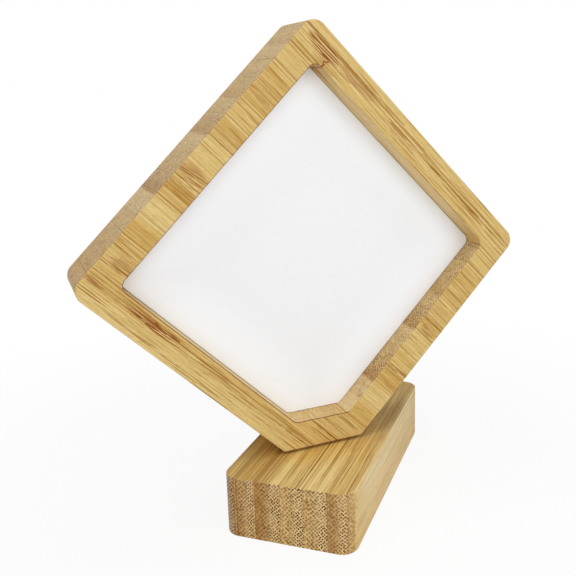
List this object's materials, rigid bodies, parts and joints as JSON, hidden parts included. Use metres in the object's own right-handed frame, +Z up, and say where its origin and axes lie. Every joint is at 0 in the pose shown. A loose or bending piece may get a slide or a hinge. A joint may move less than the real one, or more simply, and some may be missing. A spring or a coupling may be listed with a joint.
{
  "type": "double-sided photo frame",
  "caption": "Square bamboo photo frame standing on its cut-off corner, with a recessed white insert on each side, swivelling on a rectangular bamboo base.",
  "frame": {"origin": "on the table, under the middle of the whole object's box; the base's middle lies on the Y = 0 line and the swivel axis on the X = 0 line, 3.1 mm in front of the origin", "axes": "+Z up; the bamboo board stands in a plane of constant Y with one insert facing -Y and the other +Y; the base is turned 43 degrees clockwise under it, seen from above"},
  "size_m": [0.1382, 0.0848, 0.1461],
  "materials": {
    "bamboo": "laminated bamboo, finely sanded, thin clear satin coat",
    "coated_white": "smooth white coating on thin hardboard",
    "zinc_steel": "zinc plated",
    "nickel": "nickel plated",
    "brass": "turned",
    "black_nylon": "moulded"
  },
  "bodies": {
    "base": {"base_block": "bamboo", "pivot_bush": "brass", "disc_spring": "zinc_steel", "bolt_washer": "zinc_steel", "slip_washer": "black_nylon"},
    "frame": {"bamboo_frame": "bamboo", "threaded_insert": "brass", "pivot_bolt": "zinc_steel", "ledge_magnet_upper_left": "nickel", "ledge_magnet_upper_right": "nickel", "ledge_magnet_lower_left": "nickel", "ledge_magnet_lower_right": "nickel"},
    "front_insert": {"front_insert": "coated_white", "front_disc_upper_left": "zinc_steel", "front_disc_upper_right": "zinc_steel", "front_disc_lower_left": "zinc_steel", "front_disc_lower_right": "zinc_steel"},
    "rear_insert": {"rear_insert": "coated_white", "rear_disc_upper_left": "zinc_steel", "rear_disc_upper_right": "zinc_steel", "rear_disc_lower_left": "zinc_steel", "rear_disc_lower_right": "zinc_steel"}
  },
  "joints": [
    {"name": "frame_swivel", "type": "hinge", "parent": "base", "child": "frame", "pos_m": [0, -0.00314, 0.0185], "axis": [0, 0, 1], "continuous": true},
    {"name": "front_insert_out", "type": "slide", "parent": "frame", "child": "front_insert", "axis": [0, -1, 0], "range_m": [0, 0.012]},
    {"name": "rear_insert_out", "type": "slide", "parent": "frame", "child": "rear_insert", "axis": [0, 1, 0], "range_m": [0, 0.012]}
  ]
}
